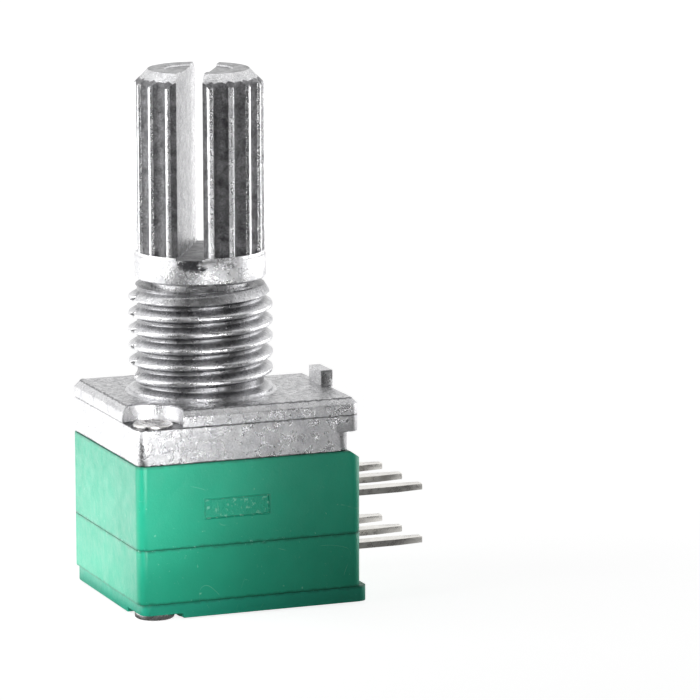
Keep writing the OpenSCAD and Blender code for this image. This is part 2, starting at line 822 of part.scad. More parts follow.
// One finger that reaches round to the contact line, on the circle of radius r
module finger(r, root_x, finger_t) {
    start = acos(root_x / r);
    steps = 12;
    overlap = 0.02; // how far neighbouring steps run into each other
    for (k = [0:steps - 1])
        let (a0 = start * k / steps, a1 = start * (k + 1) / steps)
            rotate((a0 + a1) / 2)
                translate([r, 0, 0])
                    rotate([90, 0, 0])
                        linear_extrude(2 * r * tan((a1 - a0) / 2) + overlap, center = true)
                            translate([-finger_w / 2, -wiper_drop * (1 - k / steps)])
                                square([finger_w, finger_t + wiper_drop / steps]);
}

module front_wiper() {
    wiper(FRONT);
}

module rear_wiper() {
    wiper(REAR);
}

bushing_plate();
shaft();
retaining_ring();
front_housing();
rear_housing();
rear_cover();
rivets();
front_wafer();
rear_wafer();
front_eyelets();
rear_eyelets();
terminal(FRONT, 0);  // front_terminal_1
terminal(FRONT, 1);  // front_terminal_2
terminal(FRONT, 2);  // front_terminal_3
terminal(REAR, 0);  // rear_terminal_1
terminal(REAR, 1);  // rear_terminal_2
terminal(REAR, 2);  // rear_terminal_3
front_rotor();
rear_rotor();
front_wiper();
rear_wiper();
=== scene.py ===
import math
import bmesh
import bpy
from mathutils import Matrix, Vector, noise


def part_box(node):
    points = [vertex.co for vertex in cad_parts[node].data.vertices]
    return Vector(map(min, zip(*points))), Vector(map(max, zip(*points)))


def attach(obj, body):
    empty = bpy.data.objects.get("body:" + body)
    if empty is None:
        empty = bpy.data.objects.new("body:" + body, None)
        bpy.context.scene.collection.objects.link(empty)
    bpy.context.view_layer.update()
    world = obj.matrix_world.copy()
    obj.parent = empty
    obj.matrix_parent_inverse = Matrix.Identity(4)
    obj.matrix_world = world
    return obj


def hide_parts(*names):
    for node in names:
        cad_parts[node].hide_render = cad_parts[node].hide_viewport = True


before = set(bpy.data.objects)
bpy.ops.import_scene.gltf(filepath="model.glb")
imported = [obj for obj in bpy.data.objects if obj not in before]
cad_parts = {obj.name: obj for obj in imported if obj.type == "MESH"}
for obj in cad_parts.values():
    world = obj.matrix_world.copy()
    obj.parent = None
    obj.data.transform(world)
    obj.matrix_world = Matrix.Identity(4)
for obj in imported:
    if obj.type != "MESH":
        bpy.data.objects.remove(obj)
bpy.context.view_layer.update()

MM = 0.001
X = (1, 0, 0)
Y = (0, 1, 0)
Z = (0, 0, 1)

# Camera, fitted to the photograph: angles in degrees, distances in metres
CAMERA_AZIMUTH = -21.56
CAMERA_ELEVATION = 10.456
CAMERA_ROLL = -0.127
CAMERA_DISTANCE = 0.220
CAMERA_SIDE = 6.918 * MM
CAMERA_RISE = 1.8005 * MM
CAMERA_NEAR = 0.01
CAMERA_FAR = 10
FOCAL_PIXELS = 4738.2
IMAGE_PIXELS = 700
SENSOR_MM = 36.0


def camera_axes():
    """The camera's right, up and back directions."""
    azimuth = math.radians(CAMERA_AZIMUTH)
    elevation = math.radians(CAMERA_ELEVATION)
    back = Vector((
        math.sin(azimuth) * math.cos(elevation),
        -math.cos(azimuth) * math.cos(elevation),
        math.sin(elevation),
    ))
    right = Vector((math.cos(azimuth), math.sin(azimuth), 0))
    up = back.cross(right)
    roll = math.radians(CAMERA_ROLL)
    return (
        math.cos(roll) * right + math.sin(roll) * up,
        -math.sin(roll) * right + math.cos(roll) * up,
        back,
    )


def add_camera():
    right, up, back = camera_axes()
    data = bpy.data.cameras.new("camera")
    data.sensor_width = SENSOR_MM
    data.lens = FOCAL_PIXELS / IMAGE_PIXELS * SENSOR_MM
    data.clip_start = CAMERA_NEAR
    data.clip_end = CAMERA_FAR
    camera = bpy.data.objects.new("camera", data)
    place = Matrix((right, up, back)).transposed().to_4x4()
    place.translation = back * CAMERA_DISTANCE + right * CAMERA_SIDE + up * CAMERA_RISE
    camera.matrix_world = place
    bpy.context.scene.collection.objects.link(camera)
    bpy.context.scene.camera = camera


add_camera()


# Materials

NOISE_BAND = (0.3, 0.7)  # the values between which most of a noise lies


class Tree:
    """A short way to write node trees."""

    def __init__(self, tree):
        self.tree = tree

    def add(self, kind, **settings):
        node = self.tree.nodes.new(kind)
        for key, value in settings.items():
            setattr(node, key, value)
        return node

    def link(self, source, target):
        self.tree.links.new(source, target)

    def feed(self, value, socket):
        """Links an output to a socket, or sets the socket to a plain value."""
        if hasattr(value, "is_linked"):
            self.link(value, socket)
        else:
            socket.default_value = value

    def calc(self, operation, a, b=0.0):
        node = self.add("ShaderNodeMath", operation=operation)
        self.feed(a, node.inputs[0])
        self.feed(b, node.inputs[1])
        return node.outputs[0]

    def times(self, a, b):
        return self.calc("MULTIPLY", a, b)

    def plus(self, a, b):
        return self.calc("ADD", a, b)

    def remap(self, source, low, high, to_low, to_high, kind="LINEAR"):
        node = self.add("ShaderNodeMapRange", interpolation_type=kind)
        self.link(source, node.inputs["Value"])
        limits = {"From Min": low, "From Max": high, "To Min": to_low, "To Max": to_high}
        for key, value in limits.items():
            node.inputs[key].default_value = value
        return node.outputs["Result"]

    def dot(self, vector, direction):
        node = self.add("ShaderNodeVectorMath", operation="DOT_PRODUCT")
        self.link(vector, node.inputs[0])
        node.inputs[1].default_value = direction
        return node.outputs["Value"]

    def length(self, vector):
        node = self.add("ShaderNodeVectorMath", operation="LENGTH")
        self.link(vector, node.inputs[0])
        return node.outputs["Value"]


class Surface(Tree):
    """A material whose patterns lie in the part's own frame, in metres."""

    def __init__(self, name):
        self.material = bpy.data.materials.new(name)
        self.material.use_nodes = True
        super().__init__(self.material.node_tree)
        self.shader = self.tree.nodes["Principled BSDF"]
        self.place = self.add("ShaderNodeTexCoord").outputs["Object"]

    def noise(self, scale, detail=3.0, rough=0.55, distortion=0.0):
        """Noise of the given number of features per millimetre."""
        node = self.add("ShaderNodeTexNoise")
        self.link(self.place, node.inputs["Vector"])
        node.inputs["Scale"].default_value = scale / MM
        node.inputs["Detail"].default_value = detail
        node.inputs["Roughness"].default_value = rough
        node.inputs["Distortion"].default_value = distortion
        return node.outputs["Fac"]

    def varied(self, low, high, scale, detail=3.0, rough=0.55):
        """Noise spread from low to high."""
        return self.remap(self.noise(scale, detail, rough), *NOISE_BAND, low, high)

    def waver(self, reach, scale, detail=3.0, rough=0.55):
        """A random offset of up to the given number of millimetres either way."""
        return self.varied(-reach * MM, reach * MM, scale, detail, rough)

    def along(self, direction):
        """Distance along a direction, from the origin."""
        return self.dot(self.place, direction)

    def radius(self):
        """Distance from the shaft's axis."""
        flat = self.add("ShaderNodeVectorMath", operation="MULTIPLY")
        self.link(self.place, flat.inputs[0])
        flat.inputs[1].default_value = (1, 1, 0)
        return self.length(flat.outputs[0])

    def within(self, value, middle, half, blur):
        """1 where a length in millimetres lies within half of its middle, falling off over blur."""
        off = self.calc("ABSOLUTE", self.calc("SUBTRACT", value, middle * MM))
        return self.remap(off, half * MM, (half + blur) * MM, 1.0, 0.0)

    def greatest(self, values):
        top = 0.0
        for value in values:
            top = self.calc("MAXIMUM", value, top)
        return top

    def ramp(self, source, stops):
        node = self.add("ShaderNodeValToRGB")
        self.link(source, node.inputs["Fac"])
        points = node.color_ramp.elements
        while len(points) < len(stops):
            points.new(1.0)
        for point, (at, color) in zip(points, stops):
            point.position = at
            point.color = (*color, 1)
        return node.outputs["Color"]

    def mix(self, factor, a, b):
        """Colour a where the factor is 0 and colour b where it is 1."""
        node = self.add("ShaderNodeMix", data_type="RGBA")
        self.feed(factor, node.inputs[0])
        for value, key in ((a, 6), (b, 7)):
            self.feed(value if hasattr(value, "is_linked") else (*value, 1), node.inputs[key])
        return node.outputs[2]

    def bump(self, height, distance, after=None):
        """Bump whose full height is the given distance in millimetres."""
        node = self.add("ShaderNodeBump")
        self.link(height, node.inputs["Height"])
        node.inputs["Distance"].default_value = distance * MM
        node.inputs["Strength"].default_value = 1.0
        if after is not None:
            self.link(after, node.inputs["Normal"])
        return node.outputs["Normal"]

    def finish(self, color, roughness, normal, **values):
        sockets = self.shader.inputs
        self.feed(color, sockets["Base Color"])
        self.feed(roughness, sockets["Roughness"])
        self.feed(normal, sockets["Normal"])
        for key, value in values.items():
            sockets[key].default_value = value
        return self.material


# Body: heights of its seams, and the shallow field on its side, in millimetres
SEAMS = (-2.47, -6.36, -8.90)
SEAM_HALF = 0.02
SEAM_BLUR = 0.11
SEAM_WAVER = 0.05
FIELD_MIDDLE = (0.0, -4.63)
FIELD_HALF = (1.55, 0.42)
SIDE_FACE = -4.75
SIDE_FACE_DEEP = -4.6
# Painted shade in the seams between the mouldings: its colour and how much of it is mixed in
SEAM_SHADE_COLOR = (0.004, 0.10, 0.06)
SEAM_SHADE_SHARE = 0.55
PALE_GREEN = (0.30, 0.72, 0.58)
PLASTIC_IOR = 1.46


def green_plastic(name, low, high):
    """Satin moulded plastic with flow marks, crumbs, hairline scratches and painted shade in the seams."""
    n = Surface(name)
    color = n.ramp(n.noise(0.35, 2.0), [(0.3, low), (0.7, high)])
    height = n.along(Z)
    # Painted shade darkens a blurred band along each seam between the mouldings
    wavy = n.plus(height, n.waver(SEAM_WAVER, 2.5))
    seam_shade = n.greatest([n.within(wavy, seam, SEAM_HALF, SEAM_BLUR) for seam in SEAMS])
    color = n.mix(n.times(seam_shade, SEAM_SHADE_SHARE), color, SEAM_SHADE_COLOR)
    # Crumbs of bright flash, most of them along the middle seam and in the field
    field = n.times(
        n.within(n.along(X), FIELD_MIDDLE[0], FIELD_HALF[0], 0.1),
        n.within(height, FIELD_MIDDLE[1], FIELD_HALF[1], 0.08),
    )
    field = n.times(field, n.remap(n.along(Y), SIDE_FACE * MM, SIDE_FACE_DEEP * MM, 1.0, 0.0))
    near_seam = n.within(height, SEAMS[1], 0.05, 0.3)
    crowd = n.calc("MAXIMUM", n.times(field, 0.14), n.times(near_seam, 0.05))
    crumbs = n.noise(4.5, 4.0, 0.7)
    specks = n.remap(n.plus(crumbs, crowd), 0.67, 0.72, 0.0, 0.6)
    hair = n.calc("ABSOLUTE", n.calc("SUBTRACT", n.noise(0.22, 1.0, 0.4, 0.4), 0.5))
    broken = n.remap(n.noise(0.9, 2.0), 0.52, 0.60, 0.0, 0.5)
    scratch = n.times(n.remap(hair, 0.0006, 0.0014, 1.0, 0.0), broken)
    color = n.mix(n.calc("MAXIMUM", specks, scratch), color, PALE_GREEN)
    fine = n.bump(n.noise(14.0), 0.006)
    rough = n.bump(n.times(crumbs, n.plus(n.times(field, 4.0), 0.4)), 0.03, after=fine)
    normal = n.bump(n.noise(0.8, 2.0), 0.03, after=rough)
    return n.finish(color, n.varied(0.28, 0.42, 1.6, 4.0), normal, IOR=PLASTIC_IOR)


# Shaft: direction across its slot, and the rough chip at the slot's root, in millimetres
SLOT_ANGLE = 61
SLOT_ACROSS = (math.cos(math.radians(SLOT_ANGLE + 90)), math.sin(math.radians(SLOT_ANGLE + 90)), 0)
CHIP_MIDDLE = 6.35
CHIP_HALF = (0.42, 0.28)
CHIP_BLUR = 0.12
CHIP_WAVER = 0.35
CHIP_COLOR = (0.07, 0.07, 0.075)
# Painted shade in the thread's roots: its colour, and how ragged its edge is in millimetres
ROOT_SHADE_COLOR = (0.28, 0.28, 0.29)
ROOT_SHADE_WAVER = 0.08
# Painted shade in thin lines along edges and steps: its colour, share, blur and raggedness
EDGE_SHADE_COLOR = (0.05, 0.05, 0.055)
EDGE_SHADE_SHARE = 0.85
EDGE_SHADE_BLUR = 0.04
EDGE_SHADE_WAVER = 0.03
PIT_COLOR = (0.16, 0.16, 0.17)
SPECKLE_SHARE = 0.35


def cast_zinc(name, low, high, rough, grain, grain_height, root_shade=None, chipped=False, speckled=0.3,
              pitted=0.5, lines=()):
    """As-cast zinc alloy: flow marks, small pits and a fine grain.

    low and high are the darkest and brightest colours, and rough is the range of roughness.
    Two radii in millimetres may be given for painted shade in the thread's roots: it is dark inside
    the first one and ends outside the second. lines are heights in millimetres at which painted
    shade darkens a thin line along an edge, each with its half width.
    """
    n = Surface(name)
    color = n.ramp(n.noise(1.6, 6.0, 0.72, 0.6), [(0.32, low), (0.60, high)])
    if root_shade:
        # Painted shade in the thread's roots: dark inside the first radius, gone outside the second
        ragged = n.plus(n.radius(), n.waver(ROOT_SHADE_WAVER, 6.0, 4.0, 0.7))
        unshaded = n.remap(ragged, root_shade[0] * MM, root_shade[1] * MM, 0.0, 1.0)
        color = n.mix(unshaded, ROOT_SHADE_COLOR, color)
    if chipped:
        ragged = n.waver(CHIP_WAVER, 3.5, 5.0, 0.75)
        chip = n.times(
            n.within(n.plus(n.along(SLOT_ACROSS), ragged), 0.0, CHIP_HALF[0], CHIP_BLUR),
            n.within(n.plus(n.along(Z), ragged), CHIP_MIDDLE, CHIP_HALF[1], CHIP_BLUR),
        )
        color = n.mix(chip, color, CHIP_COLOR)
    speckle = n.remap(n.noise(grain, 3.0, 0.8), 0.36, 0.60, speckled, 0.0)
    color = n.mix(speckle, color, [SPECKLE_SHARE * v for v in low])
    if lines:
        # Painted shade in thin lines along edges and steps
        level = n.plus(n.along(Z), n.waver(EDGE_SHADE_WAVER, 4.0, 4.0, 0.7))
        edge_shade = n.greatest([n.within(level, middle, half, EDGE_SHADE_BLUR) for middle, half in lines])
        color = n.mix(n.times(edge_shade, EDGE_SHADE_SHARE), color, EDGE_SHADE_COLOR)
    pits = n.remap(n.noise(grain, 4.0, 0.75), 0.62, 0.72, 0.0, pitted)
    color = n.mix(pits, color, PIT_COLOR)
    fine = n.bump(n.noise(grain, 4.0, 0.7), grain_height)
    normal = n.bump(n.noise(1.4), 0.03, after=fine)
    return n.finish(color, n.varied(*rough, 2.2, 4.0), normal, Metallic=1.0)


def sheet_metal(name, low, high, rough):
    """Plated or rolled sheet metal with faint streaks."""
    n = Surface(name)
    color = n.ramp(n.noise(1.8, 4.0, 0.6, 0.8), [(0.3, low), (0.65, high)])
    normal = n.bump(n.noise(9.0, 4.0, 0.65), 0.004)
    return n.finish(color, n.varied(*rough, 4.0, 4.0), normal, Metallic=1.0)


def board(name):
    """Phenolic paper board with a fibrous grain."""
    n = Surface(name)
    color = n.ramp(n.noise(2.5, 5.0, 0.7, 1.5), [(0.3, (0.16, 0.08, 0.035)), (0.7, (0.28, 0.15, 0.07))])
    return n.finish(color, 0.5, n.bump(n.noise(12.0), 0.006))


def acetal(name):
    """Off-white moulded plastic."""
    n = Surface(name)
    color = n.ramp(n.noise(0.8), [(0.3, (0.66, 0.64, 0.56)), (0.7, (0.74, 0.72, 0.65))])
    return n.finish(color, 0.4, n.bump(n.noise(10.0), 0.005))


# Heights and half widths of the lines of painted shade along the plate's edges, and the radii between
# which the painted shade in the thread's roots ends, in millimetres
PLATE_SHADE_LINES = ((-0.035, 0.005), (-0.80, 0.015), (-2.45, 0.01))
THREAD_SHADE_RADII = (2.97, 3.22)

GREEN = green_plastic("green_moulding", (0.013, 0.39, 0.235), (0.020, 0.45, 0.275))
# A darker copy of the green for the cover, which sits low by the floor: painted shade
GREEN_COVER_SHADED = green_plastic("green_cover", (0.013, 0.36, 0.235), (0.020, 0.42, 0.275))
# The plate gets painted shade lines under its top edge, under the flange's step and where the skirt meets
# the housing
PLATE_ZINC = cast_zinc(
    "zinc_cast", (0.57, 0.57, 0.59), (0.80, 0.80, 0.81), (0.2, 0.36), 13.0, 0.022,
    speckled=0.5, pitted=0.25, lines=PLATE_SHADE_LINES,
)
# A darker copy of the shaft's zinc: painted shade on the flutes' floors and the slot's floor
FLUTE_SHADE_ZINC = cast_zinc(
    "zinc_flute_shade", (0.10, 0.10, 0.105), (0.36, 0.36, 0.37), (0.3, 0.46), 13.0, 0.05, speckled=0.6,
)
# The bushing's thread roots get painted shade
BUSHING_ZINC = cast_zinc(
    "zinc_bushing", (0.55, 0.55, 0.57), (0.84, 0.84, 0.85), (0.2, 0.36), 12.0, 0.012, root_shade=THREAD_SHADE_RADII,
)
# A near black copy of the shaft's zinc: painted shade on the neck where it enters the bushing
NECK_SHADE_ZINC = cast_zinc("zinc_neck_shade", (0.02, 0.02, 0.022), (0.08, 0.08, 0.083), (0.35, 0.5), 11.0, 0.02)
# A darker copy of the shaft's zinc: painted shade on the tips' upward faces
TIP_SHADE_ZINC = cast_zinc(
    "zinc_tip_shade", (0.11, 0.11, 0.115), (0.50, 0.50, 0.51), (0.25, 0.4), 11.0, 0.03, speckled=0.5,
)
SHAFT_ZINC = cast_zinc(
    "zinc_shaft", (0.58, 0.58, 0.60), (0.90, 0.90, 0.91), (0.18, 0.34), 13.0, 0.025, chipped=True,
)
TINNED = sheet_metal("tinned_metal", (0.72, 0.70, 0.66), (0.88, 0.86, 0.82), (0.22, 0.4))
RIVET = sheet_metal("rivet_metal", (0.68, 0.66, 0.65), (0.85, 0.84, 0.83), (0.2, 0.36))
SPRING = sheet_metal("spring_steel", (0.35, 0.35, 0.37), (0.5, 0.5, 0.52), (0.25, 0.4))
BRONZE = sheet_metal("wiper_bronze", (0.70, 0.45, 0.22), (0.85, 0.6, 0.35), (0.2, 0.35))
BOARD = board("phenolic_board")
ACETAL = acetal("rotor_moulding")


# Meshes: lengths in millimetres, angles in degrees

WELD = 0.0005
FLAT_ANGLE = 0.3
EDGE_SEGMENTS = 2
EDGE_ANGLE = 32.0
CREASE_ANGLE = 38.0
CAST_CREASE_ANGLE = 50.0


def mesh_of(node):
    """A welded copy of a CAD node's mesh, with its flat faces joined."""
    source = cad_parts[node]
    grid = bmesh.new()
    grid.from_mesh(source.data)
    bmesh.ops.transform(grid, matrix=source.matrix_world, verts=grid.verts)
    bmesh.ops.remove_doubles(grid, verts=grid.verts, dist=WELD * MM)
    bmesh.ops.join_triangles(
        grid, faces=grid.faces, angle_face_threshold=math.radians(FLAT_ANGLE),
        angle_shape_threshold=math.pi,
    )
    return grid


def piece_from(grid, name, material):
    data = bpy.data.meshes.new(name)
    grid.to_mesh(data)
    grid.free()
    piece = bpy.data.objects.new(name, data)
    bpy.context.scene.collection.objects.link(piece)
    data.materials.append(material)
    return piece


def apply_modifiers(piece):
    graph = bpy.context.evaluated_depsgraph_get()
    done = bpy.data.meshes.new_from_object(piece.evaluated_get(graph))
    piece.modifiers.clear()
    old = piece.data
    piece.data = done
    bpy.data.meshes.remove(old)


def soften(piece, width):
    """Rounds every sharp edge of a piece and keeps it inside its own box."""
    points = [v.co.copy() for v in piece.data.vertices]
    low = [min(p[i] for p in points) for i in range(3)]
    high = [max(p[i] for p in points) for i in range(3)]
    bevel = piece.modifiers.new("edges", "BEVEL")
    bevel.width = width * MM
    bevel.segments = EDGE_SEGMENTS
    bevel.limit_method = "ANGLE"
    bevel.angle_limit = math.radians(EDGE_ANGLE)
    bevel.use_clamp_overlap = False
    bevel.miter_outer = "MITER_ARC"
    apply_modifiers(piece)
    for vertex in piece.data.vertices:
        vertex.co = [min(max(vertex.co[i], low[i]), high[i]) for i in range(3)]
    shade(piece)
    flat = piece.modifiers.new("normals", "WEIGHTED_NORMAL")
    flat.keep_sharp = True
    apply_modifiers(piece)


def shade(piece, angle=CREASE_ANGLE):
    """Smooth shading, broken at edges sharper than the given angle."""
    data = piece.data
    data.shade_smooth()
    grid = bmesh.new()
    grid.from_mesh(data)
    for edge in grid.edges:
        two_sided = len(edge.link_faces) == 2
        edge.smooth = two_sided and edge.calc_face_angle(0) < math.radians(angle)
    grid.to_mesh(data)
    grid.free()


def finish_piece(piece, body, node):
    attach(piece, body)
    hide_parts(node)


def add_rounded(node, width, material):
    """A copy of one of the case's CAD nodes, with softened edges, that stands for it."""
    piece = piece_from(mesh_of(node), node + "_finished", material)
    soften(piece, width)
    finish_piece(piece, "case", node)


add_rounded("front_housing", 0.035, GREEN)
add_rounded("rear_housing", 0.035, GREEN)
add_rounded("rear_cover", 0.03, GREEN_COVER_SHADED)
add_rounded("rivets", 0.02, RIVET)
for row in ("front", "rear"):
    for number in (1, 2, 3):
        add_rounded(f"{row}_terminal_{number}", 0.02, TINNED)


# Threaded bushing, with the true helix that the CAD part shows as rings

CREST_R = 3.35
THREAD_DEPTH = 0.42
ROOT_R = CREST_R - THREAD_DEPTH
THREAD_PITCH = 0.75
CREST_HEIGHT = 4.013  # height of one crest, in the direction CREST_TURN
CREST_TURN = -21.56
RIDGE_BELOW = (0.10, 0.70)  # shares of half a pitch over which a ridge falls, below its crest
RIDGE_ABOVE = (0.14, 1.02)  # and above it
FIRST_TURN = (0.60, 0.72)  # heights over which the lowest turn dies out
PARTING = (1.5, 4.5)  # angles from the mould's parting over which its break in each crest ends
PARTING_BREAK = 0.55
WEAR_SHARE = 0.06
GRAIN_HEIGHT = 0.012
HALVES_STEP = 0.02  # by which one half of the mould lies deeper than the other
STEP_ANGLE = 12
CHAMFER_FROM = 4.42
CHAMFER_SLOPE = 0.62
FOOT_FLARE = 0.60
FOOT_HEIGHTS = (0.06, 0.42)
FOOT_POWER = 1.5
BUSHING_TOP = 5.0
BORE_R = 2.27
BUSHING_AROUND = 240
BUSHING_ROW = 0.028
FIRST_ROW = 0.02
# Radius and height of the rings under the thread, and of those over the rim and down the bore
BUSHING_FOOT = ((3.45, -0.5), (3.45, -0.03), (3.53, 0.0))
BUSHING_RIM = ((2.80, BUSHING_TOP), (2.50, BUSHING_TOP - 0.01), (BORE_R, BUSHING_TOP - 0.2), (BORE_R, -0.5))


def smooth(low, high, value):
    """Smooth step from 0 at low to 1 at high."""
    t = min(max((value - low) / (high - low), 0.0), 1.0)
    return t * t * (3 - 2 * t)


def bushing_radius(turn, z):
    """Outer radius of the cast bushing at a direction in degrees and a height."""
    crest = CREST_HEIGHT + THREAD_PITCH * (turn - CREST_TURN) / 360
    off = (z - crest) % THREAD_PITCH
    if off > THREAD_PITCH / 2:
        off -= THREAD_PITCH
    slope = RIDGE_BELOW if off < 0 else RIDGE_ABOVE
    ridge = 1 - smooth(*slope, abs(off) / (THREAD_PITCH / 2))
    ridge *= smooth(*FIRST_TURN, z - off)
    split = min(abs(turn % 180), abs(turn % 180 - 180))
    ridge *= 1 - PARTING_BREAK * (1 - smooth(*PARTING, split))
    across, beyond = math.cos(math.radians(turn)), math.sin(math.radians(turn))
    wear = noise.noise(Vector((across, beyond, z / 2)) * 5.0)
    grain = noise.noise(Vector((across, beyond, z / 3)) * 24.0)
    r = ROOT_R + THREAD_DEPTH * ridge * (1 + WEAR_SHARE * wear) + GRAIN_HEIGHT * grain * ridge
    deeper = smooth(0, STEP_ANGLE, turn % 360) * (1 - smooth(180 - STEP_ANGLE, 180, turn % 360))
    r -= HALVES_STEP * deeper
    top = CREST_R - CHAMFER_SLOPE * max(z - CHAMFER_FROM, 0)
    foot = ROOT_R + FOOT_FLARE * (1 - smooth(*FOOT_HEIGHTS, z)) ** FOOT_POWER
    return min(max(r, foot), top)


def ring_at(radius, z):
    """Points of a level ring; radius is a number or a function of the direction in degrees."""
    points = []
    for i in range(BUSHING_AROUND):
        turn = 360 * i / BUSHING_AROUND
        r = radius(turn) if callable(radius) else radius
        points.append((r * math.cos(math.radians(turn)), r * math.sin(math.radians(turn)), z))
    return points


def bushing_mesh():
    """Closed mesh through a loop of level rings: up the outside and down the bore."""
    rings = [ring_at(r, z) for r, z in BUSHING_FOOT]
    rows = int(round((BUSHING_TOP - FIRST_ROW) / BUSHING_ROW))
    for row in range(1, rows + 1):
        z = FIRST_ROW + row * (BUSHING_TOP - FIRST_ROW) / rows
        rings.append(ring_at(lambda turn: bushing_radius(turn, z), z))
    rings += [ring_at(r, z) for r, z in BUSHING_RIM]
    grid = bmesh.new()
    verts = [[grid.verts.new(Vector(point) * MM) for point in ring] for ring in rings]
    for a, b in zip(verts, verts[1:] + verts[:1]):
        for i in range(BUSHING_AROUND):
            j = (i + 1) % BUSHING_AROUND
            grid.faces.new((a[i], a[j], b[j], b[i]))
    grid.normal_update()
    return grid


# Ridge of casting flash along the step between flange and skirt

FLASH_FROM = -1.7
FLASH_TO = 5.62
FLASH_STEPS = 150
FLASH_ROOT = 4.6  # distance of its root from the middle of the plate
FLASH_FACE = 4.70
FLASH_REACH = 0.045
FLASH_TOP = -0.76
FLASH_LOW = -0.87
FLASH_FLARE = 0.03
FLASH_LEAN = 0.004


def flash_section(x):
    """The four corners of the ragged ridge at a place along the plate."""
    rag = noise.noise(Vector((x * 3.1, 0.3, 0.7)))
    bite = noise.noise(Vector((x * 9.0, 4.3, 1.7)))
    out = FLASH_FACE + FLASH_REACH * smooth(-0.45, 0.35, rag + 0.6 * bite)
    top = FLASH_TOP + 0.04 * rag
    low = FLASH_LOW - 0.05 * bite
    return (
        (x, -FLASH_ROOT, top + FLASH_FLARE), (x, -out, top),
        (x, -out + FLASH_LEAN, (top + low) / 2), (x, -FLASH_ROOT, low - FLASH_FLARE),
    )


def flash_mesh():
    grid = bmesh.new()
    rings = []
    for i in range(FLASH_STEPS + 1):
        corners = flash_section(FLASH_FROM + (FLASH_TO - FLASH_FROM) * i / FLASH_STEPS)
        rings.append([grid.verts.new(Vector(corner) * MM) for corner in corners])
    for a, b in zip(rings, rings[1:]):
        for i in range(4):
            j = (i + 1) % 4
            grid.faces.new((a[i], a[j], b[j], b[i]))
    grid.faces.new(rings[0][::-1])
    grid.faces.new(rings[-1])
    bmesh.ops.recalc_face_normals(grid, faces=grid.faces)
    return grid


# Plate

BUSHING_CLEAR_R = 3.6  # the CAD bushing and its collar lie inside this radius
ABOVE_FACE = 0.01
PLATE_EDGE = 0.035


def plate_mesh():
    """The CAD plate without its bushing, closed by a funnel that the cast bushing covers."""
    grid = mesh_of("bushing_plate")
    inner = BUSHING_CLEAR_R * MM
    gone = [
        face for face in grid.faces
        if any(v.co.z > ABOVE_FACE * MM for v in face.verts)
        and all(math.hypot(v.co.x, v.co.y) < inner for v in face.verts)
    ]
    bmesh.ops.delete(grid, geom=gone, context="FACES")
    bmesh.ops.bridge_loops(grid, edges=[edge for edge in grid.edges if edge.is_boundary])
    bmesh.ops.recalc_face_normals(grid, faces=grid.faces)
    return grid


def add_plate():
    plate = piece_from(plate_mesh(), "cast_plate", PLATE_ZINC)
    soften(plate, PLATE_EDGE)
    finish_piece(plate, "case", "bushing_plate")
    bushing = piece_from(bushing_mesh(), "cast_bushing", BUSHING_ZINC)
    shade(bushing, CAST_CREASE_ANGLE)
    finish_piece(bushing, "case", "bushing_plate")
    flash = piece_from(flash_mesh(), "casting_flash", PLATE_ZINC)
    shade(flash, CAST_CREASE_ANGLE)
    finish_piece(flash, "case", "bushing_plate")


# Shaft: darker copies of its zinc are painted shade on the flutes' floors, the slot's floor, the tips'
# upward faces and the neck where it enters the bushing. A facing is how squarely a face looks outward or
# upward.

SHAFT_EDGE = 0.025
FLUTE_HEIGHTS = (6.6, 14.6)
FLUTE_RADII = (2.6, 2.93)
FLUTE_FACING = 0.6
SLOT_FLOOR = 6.5
SLOT_FLOOR_HALF = 0.03
SLOT_FLOOR_FACING = 0.9
NECK_HEIGHTS = (4.5, 5.29)
TIP_LOW = 14.2
TIP_FACING = 0.80
RIDGES, FLUTE_SHADE, TIP_SHADE, NECK_SHADE = range(4)


def shaft_look(center, normal):
    """Which of the shaft's materials a face has, from its middle in millimetres."""
    x, y, z = center
    r = math.hypot(x, y)
    outward = (x * normal.x + y * normal.y) / max(r, 0.1)
    # The neck where the shaft enters the bushing gets painted shade
    if NECK_HEIGHTS[0] < z < NECK_HEIGHTS[1]:
        return NECK_SHADE
    # The flutes' floors and the slot's floor get painted shade
    low, high = FLUTE_RADII
    if low < r < high and outward > FLUTE_FACING and FLUTE_HEIGHTS[0] < z < FLUTE_HEIGHTS[1]:
        return FLUTE_SHADE
    if abs(z - SLOT_FLOOR) < SLOT_FLOOR_HALF and normal.z > SLOT_FLOOR_FACING:
        return FLUTE_SHADE
    # The tips' upward faces get painted shade
    if z > TIP_LOW and normal.z > TIP_FACING:
        return TIP_SHADE
    return RIDGES


def add_shaft():
    shaft = piece_from(mesh_of("shaft"), "split_shaft", SHAFT_ZINC)
    soften(shaft, SHAFT_EDGE)
    for material in (FLUTE_SHADE_ZINC, TIP_SHADE_ZINC, NECK_SHADE_ZINC):
        shaft.data.materials.append(material)
    for face in shaft.data.polygons:
        face.material_index = shaft_look(face.center / MM, face.normal)
    finish_piece(shaft, "shaft_assembly", "shaft")


add_plate()
add_shaft()

# Nodes that are carried over with their own materials
INNER = {
    "retaining_ring": SPRING, "front_wafer": BOARD, "rear_wafer": BOARD,
    "front_eyelets": TINNED, "rear_eyelets": TINNED, "front_rotor": ACETAL,
    "rear_rotor": ACETAL, "front_wiper": BRONZE, "rear_wiper": BRONZE,
}
for name, material in INNER.items():
    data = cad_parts[name].data
    data.materials.clear()
    data.materials.append(material)


# Stage: the white background lies behind the part and beside it. Toward the camera the room is
# dim, as the metal of the photographed part shows. Distances are in metres.

